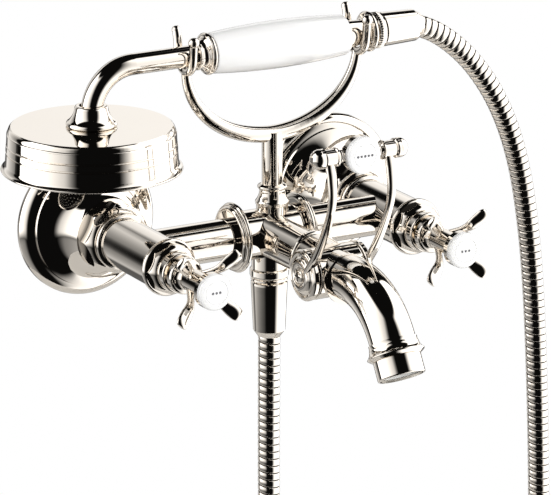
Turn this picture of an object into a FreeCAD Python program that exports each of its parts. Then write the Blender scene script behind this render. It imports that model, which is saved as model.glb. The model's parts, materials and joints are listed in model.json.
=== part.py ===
import FreeCAD, Part
import math
import os

import Sketcher

# Wall mounted bath and shower mixer with a cradle, a hand shower and its hose.
# Millimetres. +X runs along the wall, +Y goes into the wall, +Z is up.
# The origin is on the wall plane, midway between the two inlets.

doc = FreeCAD.newDocument("bath_mixer")
sheet = doc.addObject("Spreadsheet::Sheet", "Sizes")

DRIVING_SIZES = {
    # wall connection
    "inlet_spacing": 150.0,
    "wall_stub_radius": 10.48,
    "wall_stub_depth": 14.0,
    "union_thread_radius": 13.1,
    "union_bore": 7.5,
    "union_reach": 34.0,
    "flange_radius": 40.3,
    "flange_rim_depth": 8.0,
    "flange_neck_radius": 17.2,
    "flange_depth": 27.5,
    "flange_wall": 1.6,
    "union_nut_radius": 19.4,
    "union_nut_start": 28.0,
    "union_nut_end": 43.0,
    "spigot_collar_radius": 12.9,
    "spigot_radius": 11.2,
    # valve bodies
    "valve_radius": 13.75,
    "valve_end": 95.0,
    "valve_ring_radius": 15.3,
    "valve_seat": 54.0,
    "chamber_radius": 10.6,
    "collar_radius": 15.3,
    "bonnet_radius": 13.9,
    "bonnet_start": 98.6,
    "bonnet_step": 104.5,
    "bonnet_end": 110.5,
    "bonnet_nose_radius": 10.8,
    "cartridge_neck": 7.9,
    "disc_radius": 8.2,
    "shaft_radius": 4.05,
    "stem_radius": 3.5,
    "running_gap": 0.1,
    # cross handles
    "skirt_radius": 9.7,
    "skirt_start": 112.0,
    "hub_neck_radius": 5.4,
    "hub_radius": 6.2,
    "hub_end": 137.0,
    "arm_reach": 24.6,
    "button_radius": 9.7,
    "button_rim": 145.5,
    # bar, tee and riser
    "bar_distance": 67.0,
    "bar_radius": 11.0,
    "bar_bore": 8.5,
    "tee_radius": 13.5,
    "tee_half": 18.0,
    "riser_shift": 3.8,
    "outlet_shift": 1.9,
    "bead_radius": 19.2,
    "bead_end": 23.0,
    "spigot_end": 32.0,
    "water_bore": 6.5,
    "neck_radius": 11.9,
    "neck_end": 116.0,
    "post_radius": 5.6,
    "vase_radius": 9.0,
    "vase_top": 27.0,
    # cradle
    "cradle_middle_a": 52.0,
    "cradle_middle_b": 41.5,
    "cradle_centre": 96.0,
    "finger_radius": 2.3,
    "rear_finger_top": 115.5,
    "front_finger_top": 112.5,
    # hand shower
    "handset_height": 103.3,
    "tube_radius": 5.7,
    "tube_bore": 4.2,
    "head_offset": 104.0,
    "elbow_radius": 24.0,
    "head_top": 73.5,
    "head_bottom": 50.2,
    "head_top_radius": 42.8,
    "head_lip_radius": 47.4,
    "head_wall": 1.6,
    "grip_start": 34.0,
    "grip_end": 47.0,
    "grip_end_radius": 10.8,
    "grip_middle_radius": 12.8,
    "ferrule_radius": 10.9,
    "hose_nut_start": 65.0,
    "hose_nut_end": 94.5,
    "hose_nut_radius": 9.4,
    "hose_radius": 6.0,
    "hose_thread_radius": 8.2,
    # shower outlet below the tee
    "outlet_collar_radius": 10.5,
    "outlet_collar_end": 24.5,
    "outlet_thread_end": 36.0,
    "lower_nut_end": 58.0,
    # diverter
    "pivot_distance": 137.0,
    "pivot_drop": 2.5,
    "housing_radius": 13.6,
    "housing_half": 13.5,
    "rotor_radius": 9.4,
    "pivot_shaft_radius": 4.5,
    "pivot_disc_radius": 13.8,
    "pivot_disc_inner": 14.2,
    "pivot_disc_outer": 19.5,
    "crossbar_distance": 164.5,
    "crossbar_height": 68.0,
    "crossbar_half": 28.0,
    "rod_offset": 17.6,
    "rod_width": 5.6,
    "rod_thickness": 2.8,
    "lever_button_radius": 9.9,
    # spout
    "spout_radius": 12.2,
    "spout_bore": 9.2,
    "spout_straight_end": 161.5,
    "spout_bend": 44.0,
    "spout_turn": 60.0,
    "spout_collar_radius": 14.9,
    "spout_tip_radius": 12.6,
}

for row, (alias, number) in enumerate(DRIVING_SIZES.items(), start=1):
    sheet.set(f"A{row}", alias)
    sheet.set(f"B{row}", str(number))
    sheet.setAlias(f"B{row}", alias)
doc.recompute()


class Size:
    """A number with the spreadsheet expression that gives it."""

    def __init__(self, value, text):
        self.value = value
        self.text = text

    def __add__(self, other):
        return combine(self, other, "+", self.value + as_size(other).value)

    def __radd__(self, other):
        return as_size(other) + self

    def __sub__(self, other):
        return combine(self, other, "-", self.value - as_size(other).value)

    def __rsub__(self, other):
        return as_size(other) - self

    def __mul__(self, other):
        return combine(self, other, "*", self.value * as_size(other).value)

    def __rmul__(self, other):
        return as_size(other) * self

    def __neg__(self):
        return as_size(0) - self


def as_size(number):
    return number if isinstance(number, Size) else Size(float(number), repr(float(number)))


def combine(left, right, sign, value):
    return Size(value, f"({left.text} {sign} {as_size(right).text})")


def cell(alias):
    return Size(float(sheet.get(alias)), f"Sizes.{alias}")


def mm(alias):
    return float(sheet.get(alias))


OUT_OF_WALL = FreeCAD.Rotation(FreeCAD.Vector(1, 0, 0), 90)
ALONG_X = FreeCAD.Rotation(FreeCAD.Vector(0, 1, 0), 90)
ALONG_MINUS_X = FreeCAD.Rotation(FreeCAD.Vector(0, 1, 0), -90)
UPRIGHT = FreeCAD.Rotation()
DOWNWARD = FreeCAD.Rotation(FreeCAD.Vector(1, 0, 0), 180)

parts = []


def finish(piece, label):
    """Name a finished sub-part and list it for export."""
    piece.Label = label
    parts.append(piece)
    return piece


def place(piece, position, rotation=UPRIGHT):
    """Place a piece, its coordinates bound to the sheet."""
    x, y, z = (as_size(number) for number in position)
    piece.Placement = FreeCAD.Placement(FreeCAD.Vector(x.value, y.value, z.value), rotation)
    piece.setExpression("Placement.Base.x", x.text)
    piece.setExpression("Placement.Base.y", y.text)
    piece.setExpression("Placement.Base.z", z.text)
    return piece


def origin_plane(body, role):
    return next(feature for feature in body.Origin.OriginFeatures if feature.Role == role)


def bind_point(sketch, geometry, point, radius, height):
    """Fix one end of a profile edge by its radius and its height."""
    for kind, size in (("DistanceX", radius), ("DistanceY", height)):
        if size.value == 0:
            axis = -2 if kind == "DistanceX" else -1
            sketch.addConstraint(Sketcher.Constraint("PointOnObject", geometry, point, axis))
            continue
        index = sketch.addConstraint(
            Sketcher.Constraint(kind, -1, 1, geometry, point, size.value))
        sketch.setExpression(f"Constraints[{index}]", size.text)


def profile_edge(start, end, bulge):
    """A straight edge, or an arc whose middle stands off the chord by bulge.

    Also says whether the edge runs from start to end: a sketch keeps every arc
    anticlockwise.
    """
    first = FreeCAD.Vector(start[0].value, start[1].value, 0)
    last = FreeCAD.Vector(end[0].value, end[1].value, 0)
    if not bulge:
        return Part.LineSegment(first, last), True
    chord = last - first
    aside = FreeCAD.Vector(chord.y, -chord.x, 0).normalize()
    depth = abs(bulge)
    radius = (chord.Length ** 2 / 4 + depth ** 2) / (2 * depth)
    towards = 1 if bulge > 0 else -1
    centre = (first + last) * 0.5 + aside * (bulge - towards * radius)
    forward = bulge > 0
    angles = []
    for point in ((first, last) if forward else (last, first)):
        angles.append(math.atan2(point.y - centre.y, point.x - centre.x))
    if angles[1] < angles[0]:
        angles[1] += math.tau
    circle = Part.Circle(centre, FreeCAD.Vector(0, 0, 1), radius)
    return Part.ArcOfCircle(circle, *angles), forward


def turned(name, outline, position=(0, 0, 0), rotation=UPRIGHT):
    """Revolve a closed outline of (radius, height) or (radius, height, bulge) points.

    The bulge belongs to the edge that arrives at its point, positive to the right of
    the direction of travel.
    """
    body = doc.addObject("PartDesign::Body", name)
    sketch = body.newObject("Sketcher::SketchObject", f"{name}_outline")
    sketch.AttachmentSupport = [(origin_plane(body, "XZ_Plane"), "")]
    sketch.MapMode = "FlatFace"
    points = [(as_size(point[0]), as_size(point[1])) for point in outline]
    bulges = [point[2] if len(point) > 2 else 0 for point in outline]
    count = len(points)
    ends = []
    for number in range(count):
        following = (number + 1) % count
        edge, forward = profile_edge(points[number], points[following], bulges[following])
        geometry = sketch.addGeometry(edge)
        ends.append((geometry, 1 if forward else 2, 2 if forward else 1))
        if bulges[following]:
            sketch.addConstraint(Sketcher.Constraint("Radius", geometry, edge.Radius))
    for number in range(count):
        geometry, _, leaving = ends[number]
        next_geometry, arriving, _ = ends[(number + 1) % count]
        sketch.addConstraint(Sketcher.Constraint(
            "Coincident", geometry, leaving, next_geometry, arriving))
    for number in range(count):
        geometry, start, _ = ends[number]
        bind_point(sketch, geometry, start, *points[number])
    revolution = body.newObject("PartDesign::Revolution", f"{name}_turning")
    revolution.Profile = sketch
    revolution.ReferenceAxis = (sketch, ["V_Axis"])
    revolution.Angle = 360
    return place(body, position, rotation)


def rod(name, radius, length, position, rotation=UPRIGHT):
    """A plain cylinder along its own Z."""
    piece = doc.addObject("Part::Cylinder", name)
    piece.setExpression("Radius", as_size(radius).text)
    piece.setExpression("Height", as_size(length).text)
    return place(piece, position, rotation)


def fused(name, *pieces):
    piece = doc.addObject("Part::MultiFuse", name)
    piece.Shapes = list(pieces)
    return piece


def cut(name, base, *tools):
    """Cut the tools from the base one after another."""
    for number, tool in enumerate(tools, start=1):
        piece = doc.addObject("Part::Cut", name if number == len(tools) else f"{name}_{number}")
        piece.Base = base
        piece.Tool = tool
        base = piece
    return base


def common(name, first, second):
    piece = doc.addObject("Part::Common", name)
    piece.Base = first
    piece.Tool = second
    return piece


def shaped(name, shape):
    """A piece whose shape is computed from the sheet."""
    piece = doc.addObject("Part::Feature", name)
    piece.Shape = shape
    return piece


def vector(x, y, z):
    return FreeCAD.Vector(x, y, z)


# --------------------------------------------------------------------- wall connection

half_spacing = cell("inlet_spacing") * 0.5
SIDES = {"hot": -1, "cold": 1}


def inlet(side, distance=0):
    """A point on one valve axis, a distance out from the wall."""
    return (half_spacing * side, -as_size(distance), 0)


def wall_union(name, side):
    stub_depth = cell("wall_stub_depth")
    reach = stub_depth + cell("union_reach")
    bore = cell("union_bore")
    stub = cell("wall_stub_radius")
    thread = cell("union_thread_radius")
    outline = [(bore, 0), (stub - 0.8, 0), (stub, 0.8), (stub, stub_depth + 9.5),
               (thread, stub_depth + 12), (thread, reach - 0.8), (thread - 0.8, reach),
               (bore, reach)]
    return turned(f"{name}_wall_union", outline, inlet(side, -stub_depth), OUT_OF_WALL)


def wall_flange(name, side):
    rim = cell("flange_radius")
    rim_depth = cell("flange_rim_depth")
    neck = cell("flange_neck_radius")
    depth = cell("flange_depth")
    wall = cell("flange_wall")
    outline = [(rim - wall, 0), (rim, 0), (rim, 2.2), (rim - 5.6, rim_depth, 1.3),
               (rim - 6.6, rim_depth + 0.2), (rim - 7.0, rim_depth + 1.4),
               (neck, depth, -4.2), (neck - wall, depth),
               (rim - 8.8, rim_depth, 4.2), (rim - 6.2, rim_depth - wall),
               (rim - wall, 2.0, -1.0)]
    return turned(f"{name}_wall_flange", outline, inlet(side), OUT_OF_WALL)


def union_nut(name, side):
    start = cell("union_nut_start")
    end = cell("union_nut_end")
    radius = cell("union_nut_radius")
    blank = doc.addObject("Part::Prism", f"{name}_nut_blank")
    blank.Polygon = 8
    blank.setExpression("Circumradius", radius.text)
    blank.setExpression("Height", (end - start).text)
    place(blank, inlet(side, start), OUT_OF_WALL)
    envelope = turned(f"{name}_nut_envelope", [
        (0, 0), (radius - 2.2, 0), (radius, 4, 0.5), (radius, 9.6), (radius - 3.6, end - start, 0.7),
        (0, end - start)], inlet(side, start), OUT_OF_WALL)
    thread = rod(f"{name}_nut_thread", cell("union_thread_radius") + 0.05, end - start - 3,
                 inlet(side, start), OUT_OF_WALL)
    throat = rod(f"{name}_nut_throat", cell("spigot_radius") + 0.15, end - start,
                 inlet(side, start), OUT_OF_WALL)
    return cut(f"{name}_union_nut", common(f"{name}_nut_body", blank, envelope), thread, throat)


def inlet_washer(name, side):
    reach = cell("union_reach")
    outline = [(8, 0), (12.6, 0), (12.6, 2), (8, 2)]
    return turned(f"{name}_washer", outline, inlet(side, reach + 0.1), OUT_OF_WALL)


# --------------------------------------------------------------------- valves

def valve_body(name, side):
    base = cell("union_reach") + 2.2
    end = cell("valve_end")
    bore = cell("water_bore")
    ring = cell("valve_ring_radius")
    radius = cell("valve_radius")
    chamber = cell("chamber_radius")
    collar = cell("spigot_collar_radius")
    spigot = cell("spigot_radius")
    ring_start = cell("union_nut_end") + 0.4
    outline = [(bore, 0), (collar, 0), (collar, 3.5), (spigot, 3.5), (spigot, ring_start - base),
               (ring - 0.8, ring_start - base), (ring - 0.8, ring_start - base + 2.8, 1.2),
               (radius, ring_start - base + 3.2), (radius, end - base), (chamber, end - base),
               (chamber, cell("valve_seat") - base), (bore, cell("valve_seat") - base)]
    shell = turned(f"{name}_valve_shell", outline, inlet(side, base), OUT_OF_WALL)
    port = rod(f"{name}_port", 7, radius,
               inlet(side, cell("bar_distance")), ALONG_MINUS_X if side > 0 else ALONG_X)
    return cut(f"{name}_valve_body", shell, port)


def collar_ring(name, side):
    start = cell("valve_end")
    radius = cell("collar_radius")
    bore = cell("chamber_radius") + 0.1
    depth = cell("bonnet_start") - start
    outline = [(bore, 0), (radius - 0.9, 0), (radius - 0.9, depth, 1.2), (bore, depth)]
    return turned(f"{name}_collar_ring", outline, inlet(side, start), OUT_OF_WALL)


def bonnet_nut(name, side):
    start = cell("bonnet_start")
    step = cell("bonnet_step")
    end = cell("bonnet_end")
    radius = cell("bonnet_radius")
    nose = cell("bonnet_nose_radius")
    thread_start = start - 12.6
    blank = doc.addObject("Part::Prism", f"{name}_bonnet_blank")
    blank.Polygon = 8
    blank.setExpression("Circumradius", radius.text)
    blank.setExpression("Height", (step - start).text)
    place(blank, inlet(side, start), OUT_OF_WALL)
    envelope = turned(f"{name}_bonnet_envelope", [
        (0, 0), (radius, 0), (radius, 1.6), (nose + 0.2, step - start, 0.5), (0, step - start)],
        inlet(side, start), OUT_OF_WALL)
    nose_piece = turned(f"{name}_bonnet_nose", [
        (0, 0), (cell("chamber_radius") - 0.1, 0), (cell("chamber_radius") - 0.1, start - thread_start),
        (nose - 1, start - thread_start), (nose - 1, step - thread_start - 0.4),
        (nose, step - thread_start + 0.4), (nose, end - thread_start - 0.9),
        (nose - 0.9, end - thread_start, 0.25), (0, end - thread_start)],
        inlet(side, thread_start), OUT_OF_WALL)
    bore = rod(f"{name}_bonnet_bore", cell("cartridge_neck") + 0.1, end - thread_start,
               inlet(side, thread_start), OUT_OF_WALL)
    body = fused(f"{name}_bonnet_body", common(f"{name}_bonnet_octagon", blank, envelope), nose_piece)
    return cut(f"{name}_bonnet_nut", body, bore)


def cartridge(name, side):
    base = cell("valve_seat") + 0.3
    shoulder = cell("bonnet_start") - 12.8
    neck_end = cell("bonnet_end") - 1
    cavity_end = cell("valve_seat") + 14
    radius = cell("chamber_radius") - 0.2
    cavity = cell("disc_radius") + 0.3
    neck = cell("cartridge_neck")
    bore = cell("shaft_radius") + cell("running_gap")
    outline = [(cavity, 0), (radius, 0), (radius, shoulder - base), (neck, shoulder - base),
               (neck, neck_end - base), (bore, neck_end - base), (bore, cavity_end - base),
               (cavity, cavity_end - base)]
    shell = turned(f"{name}_cartridge_shell", outline, inlet(side, base), OUT_OF_WALL)
    window = rod(f"{name}_cartridge_window", 2.6, radius * 2,
                 (half_spacing * side - radius, -(cell("valve_seat") + 11), 0), ALONG_X)
    return cut(f"{name}_cartridge", shell, window)


def ceramic_disc(name, side, start, radius, thickness):
    """A lapped ceramic disc with two round ports."""
    blank = rod(f"{name}_blank", radius, thickness, inlet(side, start), OUT_OF_WALL)
    ports = []
    for number, offset in enumerate((-4.4, 4.4)):
        x, y, z = inlet(side, start)
        ports.append(rod(f"{name}_opening_{number}", 2.3, thickness, (x, y, z + offset), OUT_OF_WALL))
    return cut(name, blank, *ports)


def spindle(name, side):
    base = cell("valve_seat") + 8.4
    carrier = cell("disc_radius")
    shaft = cell("shaft_radius")
    stem = cell("stem_radius")
    screw_hole = 2.35
    hole_start = 120.5 - base
    stem_end = 131 - base
    outline = [(0, 0), (carrier, 0), (carrier, 3), (shaft, 3), (shaft, cell("skirt_start") - base),
               (stem, cell("skirt_start") - base), (stem, stem_end), (screw_hole, stem_end),
               (screw_hole, hole_start), (0, hole_start)]
    return turned(f"{name}_spindle", outline, inlet(side, base), OUT_OF_WALL)


def arm_sections():
    """Ellipses along one handle arm: leaves the hub, bends out and ends in a paddle."""
    reach = mm("arm_reach")
    stations = [
        # distance from the axis, distance from the wall, slope, half width, half thickness
        (3.0, 123.5, 58, 2.3, 1.7),
        (5.6, 127.6, 58, 2.3, 1.6),
        (8.6, 132.2, 54, 2.3, 1.5),
        (11.6, 136.0, 42, 2.6, 1.5),
        (14.8, 138.2, 25, 3.2, 1.6),
        (18.5, 139.6, 18, 3.7, 1.7),
        (reach - 2.4, 141.2, 15, 3.7, 1.7),
        (reach - 0.5, 141.8, 15, 3.0, 1.3),
        (reach, 141.9, 15, 2.0, 0.8),
    ]
    wires = []
    for out, forward, slope, half_width, half_thickness in stations:
        angle = math.radians(slope)
        centre = vector(out, 0, forward)
        across = vector(0, 1, 0)
        normal = vector(math.cos(angle), 0, math.sin(angle))
        ellipse = Part.Ellipse(centre + across * half_width,
                               centre + across.cross(normal) * half_thickness, centre)
        wires.append(Part.Wire([ellipse.toShape()]))
    return wires


def handle_arms(name, side):
    """Four arms on the diagonals, in the frame of the valve axis."""
    arm = Part.makeLoft(arm_sections(), True, False)
    turns = []
    for quarter in range(4):
        turned_arm = arm.copy()
        turned_arm.rotate(vector(0, 0, 0), vector(0, 0, 1), 45 + 90 * quarter)
        turns.append(turned_arm)
    arms = shaped(f"{name}_arms", turns[0].fuse(turns[1:]))
    return place(arms, inlet(side), OUT_OF_WALL)


def cross_handle(name, side):
    start = cell("skirt_start")
    skirt = cell("skirt_radius")
    neck = cell("hub_neck_radius")
    hub = cell("hub_radius")
    hub_end = cell("hub_end") - start
    rim = cell("button_rim") - start
    button = cell("button_radius")
    outline = [(cell("stem_radius") + 0.02, 0), (skirt - 2.6, 0), (skirt, 1.0), (skirt, 3.4),
               (skirt - 1.4, 5.0, 0.4), (neck, 7.6, -0.7), (neck, 9.4), (hub, 10.2),
               (hub, hub_end), (button - 1.2, hub_end + 4.2, -0.8), (button, hub_end + 5.2),
               (button, rim), (button - 0.7, rim), (button - 0.7, rim - 2.6),
               (4.6, rim - 2.6), (4.6, 19.2), (cell("stem_radius") + 0.02, 19.2)]
    hub_piece = turned(f"{name}_hub", outline, inlet(side, start), OUT_OF_WALL)
    bore = rod(f"{name}_arm_bore", 4.6, 24, inlet(side, 121), OUT_OF_WALL)
    arms = cut(f"{name}_bored_arms", handle_arms(name, side), bore)
    sleeve = turned(f"{name}_sleeve", [
        (cell("stem_radius") + 0.02, 0), (hub - 0.3, 0), (hub - 0.3, 9.2),
        (cell("stem_radius") + 0.02, 9.2)], inlet(side, start + 10), OUT_OF_WALL)
    return fused(f"{name}_cross_handle", hub_piece, arms, sleeve)


def handle_screw(name, side):
    outline = [(0, 0), (2.3, 0), (2.3, 9.9), (4.2, 9.9), (4.2, 12.6), (3.4, 13.4, 0.2),
               (1.5, 13.4), (1.5, 11.6), (0, 11.6)]
    return turned(f"{name}_handle_screw", outline, inlet(side, 121.4), OUT_OF_WALL)


def button(name, centre, base, radius, rotation=OUT_OF_WALL):
    """A porcelain index button: a stem in its cup, a rounded face with a shallow ring."""
    outline = [(0, 0), (radius - 0.8, 0), (radius - 0.8, 2.5), (radius, 2.5), (radius, 4.4),
               (radius - 1.4, 5.8, 0.35), (6.9, 6.0), (6.4, 5.75), (5.9, 6.0), (0, 6.0)]
    x, y, z = centre
    return turned(name, outline, (x, y - base, z), rotation)


# --------------------------------------------------------------------- bar and tee

bar_y = -cell("bar_distance")
riser_x = cell("riser_shift")
outlet_x = cell("outlet_shift")


def bar_tube(name, side):
    start = cell("bead_end")
    turn = ALONG_X if side > 0 else ALONG_MINUS_X
    position = (start * side, bar_y, 0)
    outer = rod(f"{name}_bar_outer", cell("bar_radius"), half_spacing - start, position, turn)
    bore = rod(f"{name}_bar_bore", cell("bar_bore"), half_spacing - start, position, turn)
    saddle = rod(f"{name}_bar_saddle", cell("valve_radius") + 0.02, cell("valve_end"),
                 inlet(side), OUT_OF_WALL)
    return cut(f"{name}_bar_tube", outer, bore, saddle)


def bar_ring(name, side):
    start = cell("tee_half")
    radius = cell("bead_radius")
    bore = cell("bar_bore") - 0.05
    width = cell("bead_end") - start
    outline = [(bore, 0), (radius - 3.4, 0), (radius - 1.2, 0.3, 0.3), (radius - 1.0, 2.4, 0.9),
               (radius - 1.6, 2.7), (radius - 1.9, 3.9, 0.6), (radius - 4.4, width, 0.5),
               (bore, width)]
    turn = ALONG_X if side > 0 else ALONG_MINUS_X
    return turned(f"{name}_bar_ring", outline, (start * side, bar_y, 0), turn)


def tee_body():
    radius = cell("tee_radius")
    half = cell("tee_half")
    spigot = cell("bar_bore") - 0.1
    spigot_end = cell("spigot_end")
    bore = cell("water_bore")
    barrel = turned("tee_barrel", [
        (0, 0), (spigot, 0), (spigot, spigot_end - half), (radius - 0.5, spigot_end - half),
        (radius, spigot_end - half + 0.5), (radius, spigot_end + half - 0.5),
        (radius - 0.5, spigot_end + half), (spigot, spigot_end + half),
        (spigot, spigot_end * 2), (0, spigot_end * 2)],
        (-spigot_end, bar_y, 0), ALONG_X)
    neck_length = cell("neck_end") - cell("bar_distance")
    neck = rod("tee_neck", cell("neck_radius"), neck_length, (0, bar_y, 0), OUT_OF_WALL)
    boss = rod("tee_boss", cell("outlet_collar_radius") - 1, cell("outlet_collar_end") - 5,
               (outlet_x, bar_y, 0), DOWNWARD)
    cross_bore = rod("tee_cross_bore", bore, spigot_end * 2, (-spigot_end, bar_y, 0), ALONG_X)
    neck_bore = rod("tee_neck_bore", 8, neck_length, (0, bar_y, 0), OUT_OF_WALL)
    down_bore = rod("tee_down_bore", 5, 30, (outlet_x, bar_y, 0), DOWNWARD)
    post_socket = rod("tee_post_socket", 4.05, 8, (riser_x, bar_y, 8), UPRIGHT)
    return cut("tee_body", fused("tee_solid", barrel, neck, boss),
               cross_bore, neck_bore, down_bore, post_socket)


def vase_collar():
    """The turned foot of the riser, saddled on the tee."""
    vase = cell("vase_radius")
    top = cell("vase_top") - 9
    bore = 4.1
    outline = [(bore, 0), (vase - 0.4, 0), (vase - 0.4, 6.4), (vase, 7.4, 0.2), (vase, 8.6, 0.2),
               (6.9, 14.2, -0.5), (6.7, 15.0), (7.5, 15.4, 0.1), (7.5, 17.2, 0.5), (6.2, top),
               (bore, top)]
    piece = turned("vase_blank", outline, (riser_x, bar_y, 9))
    saddle = rod("vase_saddle", cell("tee_radius") + 0.02, 40, (-20, bar_y, 0), ALONG_X)
    neck_room = rod("vase_neck_room", cell("neck_radius") + 0.02, 30, (0, bar_y + 5, 0), OUT_OF_WALL)
    return cut("vase_collar", piece, saddle, neck_room)


def ellipse_point(a, b, angle):
    """A point of the cradle's middle line, by its angle below the horizontal."""
    return vector(mm("riser_shift") - a * math.cos(angle), -mm("bar_distance"),
                  mm("cradle_centre") - b * math.sin(angle))


def cradle_crescent():
    """A curved bar, slim at the forks and deep over the riser."""
    a = mm("cradle_middle_a")
    b = mm("cradle_middle_b")
    wires = []
    stations = 16
    for number in range(stations + 1):
        angle = math.radians(3 + 174 * number / stations)
        centre = ellipse_point(a, b, angle)
        tangent = vector(a * math.sin(angle), 0, -b * math.cos(angle)).normalize()
        across = vector(0, 1, 0)
        half_depth = 2.2 + 2.2 * math.sin(angle)
        half_width = half_depth + 0.3
        inward = across.cross(tangent).normalize()
        ellipse = Part.Ellipse(centre + across * half_width, centre + inward * half_depth, centre)
        wires.append(Part.Wire([ellipse.toShape()]))
    return Part.makeLoft(wires, True, False)


def fork(side, seat_radius):
    """A round bar bent into a U under the hand shower, with a ball on its front finger."""
    x = mm("riser_shift") + side * mm("cradle_middle_a")
    y = -mm("bar_distance")
    z = mm("handset_height")
    thickness = mm("finger_radius")
    reach = seat_radius + thickness
    rear_top = mm("rear_finger_top")
    front_top = mm("front_finger_top")

    def at(across, height):
        return vector(x, y + across, height)

    route = [at(-reach - 1.0, front_top), at(-reach - 0.6, (front_top + z) / 2 + 1)]
    for degrees in range(-90, 91, 30):
        angle = math.radians(degrees)
        route.append(at(reach * math.sin(angle), z - reach * math.cos(angle)))
    route += [at(reach + 0.5, (rear_top + z) / 2 - 1), at(reach + 2.2, rear_top)]
    middle = Part.BSplineCurve()
    middle.interpolate(route)
    start = middle.FirstParameter
    section = Part.Circle(route[0], middle.tangent(start)[0], thickness)
    bar = Part.Wire([middle.toShape()]).makePipeShell([Part.Wire([section.toShape()])], True, False)
    ball = Part.makeSphere(thickness + 0.7, route[0])
    tip = Part.makeSphere(thickness + 0.1, route[-1])
    return bar.fuse([ball, tip])


# Inner radius of the seat: the left fork holds the tube, the right one the ferrule.
SEAT_RADIUS = {-1: 5.85, 1: 7.55}


def cradle():
    crescent = cradle_crescent()
    piece = crescent.fuse([fork(side, seat) for side, seat in SEAT_RADIUS.items()])
    socket = Part.makeCylinder(3.55, 7, vector(mm("riser_shift"), -mm("bar_distance"), 48))
    return shaped("cradle", piece.cut(socket))


def riser_post():
    top = rod("post_shaft", cell("post_radius"), 56 - cell("vase_top"),
              (riser_x, bar_y, cell("vase_top")))
    foot = rod("post_foot", 4, cell("vase_top") - 8.5, (riser_x, bar_y, 8.5))
    tenon = rod("post_tenon", 3.5, 30, (riser_x, bar_y, 24.5))
    seat = shaped("post_seat", cradle_crescent())
    trimmed = cut("post_trimmed", fused("post_solid", top, foot), seat)
    return fused("riser_post", trimmed, tenon)


# --------------------------------------------------------------------- shower outlet

def shower_outlet():
    top = cell("outlet_collar_end") - 5
    collar = cell("outlet_collar_radius")
    thread = cell("hose_thread_radius")
    collar_end = 5.0
    end = cell("outlet_thread_end") - top
    outline = [(5, 0), (collar - 1, 0), (collar, 1, 0.2), (collar, 3.6), (collar - 0.9, collar_end, 0.3),
               (thread, collar_end), (thread, end - 0.8), (thread - 0.8, end), (5, end)]
    return turned("shower_outlet", outline, (outlet_x, bar_y, -top), DOWNWARD)


def hose_washer(name, position, rotation):
    return turned(name, [(4.5, 0), (8.0, 0), (8.0, 1.8), (4.5, 1.8)], position, rotation)


def outlet_hose_nut():
    start = cell("outlet_collar_end") + 0.1
    end = cell("lower_nut_end") - start
    thread = cell("hose_thread_radius") + 0.05
    recess = cell("outlet_thread_end") + 2 - start
    outline = [(thread, 0), (9.5, 0), (9.9, 0.5), (9.9, 1.6), (9.3, 2.2), (9.9, 2.8), (9.9, 4.0),
               (8.7, end - 3.4), (8.3, end - 2.8), (cell("hose_radius") + 0.3, end),
               (4.2, end), (4.2, recess), (thread, recess)]
    return turned("outlet_hose_nut", outline, (outlet_x, bar_y, -start), DOWNWARD)


# --------------------------------------------------------------------- diverter and spout

pivot_y = -cell("pivot_distance")
pivot_z = -cell("pivot_drop")


def diverter_housing():
    half = cell("housing_half")
    radius = cell("housing_radius")
    barrel = turned("housing_barrel", [
        (0, 0), (radius - 0.8, 0), (radius, 0.8, 0.2), (radius, half * 2 - 0.8),
        (radius - 0.8, half * 2, 0.2), (0, half * 2)], (-half, pivot_y, pivot_z), ALONG_X)
    length = cell("pivot_distance") - cell("neck_end")
    rear = turned("housing_rear", [
        (0, 0), (13.4, 0), (14.2, 1.0, 0.2), (14.2, 2.6), (13.0, 3.8, 0.2), (12.4, length), (0, length)],
        (0, -cell("neck_end"), 0), OUT_OF_WALL)
    front = turned("housing_front", [
        (0, 0), (12.6, 0), (12.6, 15.4), (13.6, 16.0), (13.6, 17.6), (0, 17.6)],
        (0, pivot_y, pivot_z), OUT_OF_WALL)
    rotor_room = rod("housing_rotor_room", cell("rotor_radius") + 0.1, 20,
                     (-10, pivot_y, pivot_z), ALONG_X)
    shaft_bore = rod("housing_shaft_bore", cell("pivot_shaft_radius") + 0.1, half * 2,
                     (-half, pivot_y, pivot_z), ALONG_X)
    water_way = rod("housing_water_way", 8, 60, (0, -cell("neck_end"), pivot_z + 1), OUT_OF_WALL)
    return cut("diverter_housing", fused("housing_solid", barrel, rear, front),
               rotor_room, shaft_bore, water_way)


def diverter_rotor():
    """The cross shaft with its drum, which opens one way and closes the other."""
    shaft = cell("pivot_shaft_radius")
    drum = cell("rotor_radius")
    end = cell("pivot_disc_inner") + 2.4
    blank = turned("rotor_blank", [
        (0, 0), (shaft, 0), (shaft, end - 9.8), (drum, end - 9.8), (drum, end + 9.8),
        (shaft, end + 9.8), (shaft, end * 2), (0, end * 2)], (-end, pivot_y, pivot_z), ALONG_X)
    passage = rod("rotor_passage", 5, 24, (0, pivot_y + 12, pivot_z), OUT_OF_WALL)
    return cut("diverter_rotor", blank, passage)


def pivot_disc(name, side):
    inner = cell("pivot_disc_inner")
    depth = cell("pivot_disc_outer") - inner
    radius = cell("pivot_disc_radius")
    shaft = cell("pivot_shaft_radius")
    outline = [(0, 2.6), (shaft + 0.02, 2.6), (shaft + 0.02, 0), (radius - 1.6, 0), (radius, 1.0, 0.3),
               (radius, 2.6), (radius - 2.0, 4.0, 0.3), (radius - 3.2, 3.6), (radius - 3.8, 4.0),
               (5.2, depth, 0.9), (4.6, depth - 0.5), (0, depth - 0.5)]
    turn = ALONG_X if side > 0 else ALONG_MINUS_X
    return turned(f"{name}_pivot_disc", outline, (inner * side, pivot_y, pivot_z), turn)


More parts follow.
